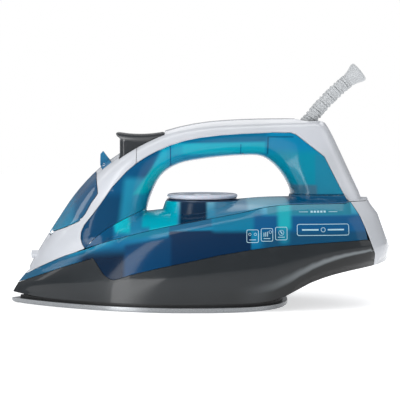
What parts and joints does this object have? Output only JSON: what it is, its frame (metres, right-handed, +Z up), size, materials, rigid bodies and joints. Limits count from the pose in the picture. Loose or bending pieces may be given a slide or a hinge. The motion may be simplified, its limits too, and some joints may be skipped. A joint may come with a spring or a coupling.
{
  "type": "steam iron",
  "caption": "Steam iron with a see-through blue water tank and handle, white covers, a charcoal skirt, a temperature dial, two thumb buttons and a ribbed cord guard.",
  "frame": {"origin": "middle of the soleplate's ironing face", "axes": "+X from the nose to the heel, +Z up from the ironing face to the handle, +Y across"},
  "size_m": [0.2895, 0.112, 0.1829],
  "materials": {
    "black_rubber": "silicone rubber",
    "blue_plastic": "gloss",
    "brass": "turned",
    "cast_aluminium": "rough die casting",
    "ceramic_sole": "satin ceramic coating on aluminium",
    "charcoal_plastic": "satin",
    "clear_blue": "see-through blue, gloss",
    "clear_hose": "silicone",
    "dial_plastic": "gloss",
    "glass_sleeve": "woven glass sleeve",
    "grey_plastic": "satin",
    "guard_plastic": "soft plastic",
    "ivory_plastic": "plain moulding",
    "navy_plastic": "satin",
    "pressed_steel": "plain pressed steel",
    "steel_rod": "bright steel",
    "steel_sheath": "heat-dulled steel tube",
    "white_ceramic": "ceramic and heat-proof moulding",
    "white_plastic": "gloss",
    "wire_sleeve": "silicone sleeve"
  },
  "bodies": {
    "iron": {"soleplate": "ceramic_sole", "heater_casting": "cast_aluminium", "heating_element": "steel_sheath", "element_terminals": "white_ceramic", "chamber_cover": "pressed_steel", "gasket": "black_rubber", "thermostat": "white_ceramic", "thermal_fuse": "glass_sleeve", "valve_seat": "brass", "skirt": "charcoal_plastic", "tank_floor": "navy_plastic", "tank_lower": "clear_blue", "tank_upper": "clear_blue", "handle_lower": "clear_blue", "handle_cover": "white_plastic", "rear_cover": "white_plastic", "nose_cover": "white_plastic", "door_pin": "steel_rod", "filler_tray": "navy_plastic", "selector_pin": "steel_rod", "spray_nozzle": "white_plastic", "spray_pump": "ivory_plastic", "burst_pump": "ivory_plastic", "spray_spring": "steel_rod", "burst_spring": "steel_rod", "spray_hose": "clear_hose", "burst_hose": "clear_hose", "dial_seat": "dial_plastic", "swivel_socket": "white_plastic", "terminal_block": "white_ceramic", "cord_clamp": "white_plastic", "wiring": "wire_sleeve", "casting_screws": "steel_rod"},
    "dial_knob": {"dial": "dial_plastic", "dial_shaft": "white_ceramic"},
    "spray_key": {"spray_button": "grey_plastic", "spray_piston": "ivory_plastic"},
    "burst_key": {"burst_button": "grey_plastic", "burst_piston": "ivory_plastic"},
    "selector": {"steam_selector": "blue_plastic"},
    "valve_rod": {"steam_valve_rod": "steel_rod"},
    "door": {"filler_door": "clear_blue", "filler_seal": "black_rubber"},
    "cord_ball": {"swivel_ball": "guard_plastic"},
    "guard": {"guard_foot": "guard_plastic", "cord_guard": "guard_plastic", "guard_end": "guard_plastic"}
  },
  "joints": [
    {"name": "dial_turn", "type": "hinge", "parent": "iron", "child": "dial_knob", "pos_m": [0.0408, 0, 0.08], "axis": [0, 0, 1], "range_deg": [-135, 135]},
    {"name": "spray_press", "type": "slide", "parent": "iron", "child": "spray_key", "axis": [0, 0, -1], "range_m": [0, 0.004], "stiffness_N_per_m": 500, "springref_m": -0.002, "deforming": ["spray_spring"]},
    {"name": "burst_press", "type": "slide", "parent": "iron", "child": "burst_key", "axis": [0, 0, -1], "range_m": [0, 0.004], "stiffness_N_per_m": 500, "springref_m": -0.002, "deforming": ["burst_spring"]},
    {"name": "selector_turn", "type": "hinge", "parent": "iron", "child": "selector", "pos_m": [-0.0266, 0, 0.0986], "axis": [0.7771, 0, 0.6293], "range_deg": [-25, 25]},
    {"name": "valve_lift", "type": "slide", "parent": "iron", "child": "valve_rod", "axis": [0, 0, 1], "range_m": [-0.0015, 0.0015]},
    {"name": "door_open", "type": "hinge", "parent": "iron", "child": "door", "pos_m": [-0.0734, 0, 0.0548], "axis": [0, -1, 0], "range_deg": [0, 75]},
    {"name": "guard_tilt", "type": "hinge", "parent": "iron", "child": "cord_ball", "pos_m": [0.1145, 0, 0.129], "axis": [0, 1, 0], "range_deg": [-12, 12]},
    {"name": "guard_turn", "type": "hinge", "parent": "cord_ball", "child": "guard", "pos_m": [0.1145, 0, 0.129], "axis": [0.6018, 0, 0.7986], "continuous": true}
  ],
  "couplings": [
    {"joint": "selector_turn", "follows": "valve_lift", "rad_per_m": 290}
  ]
}
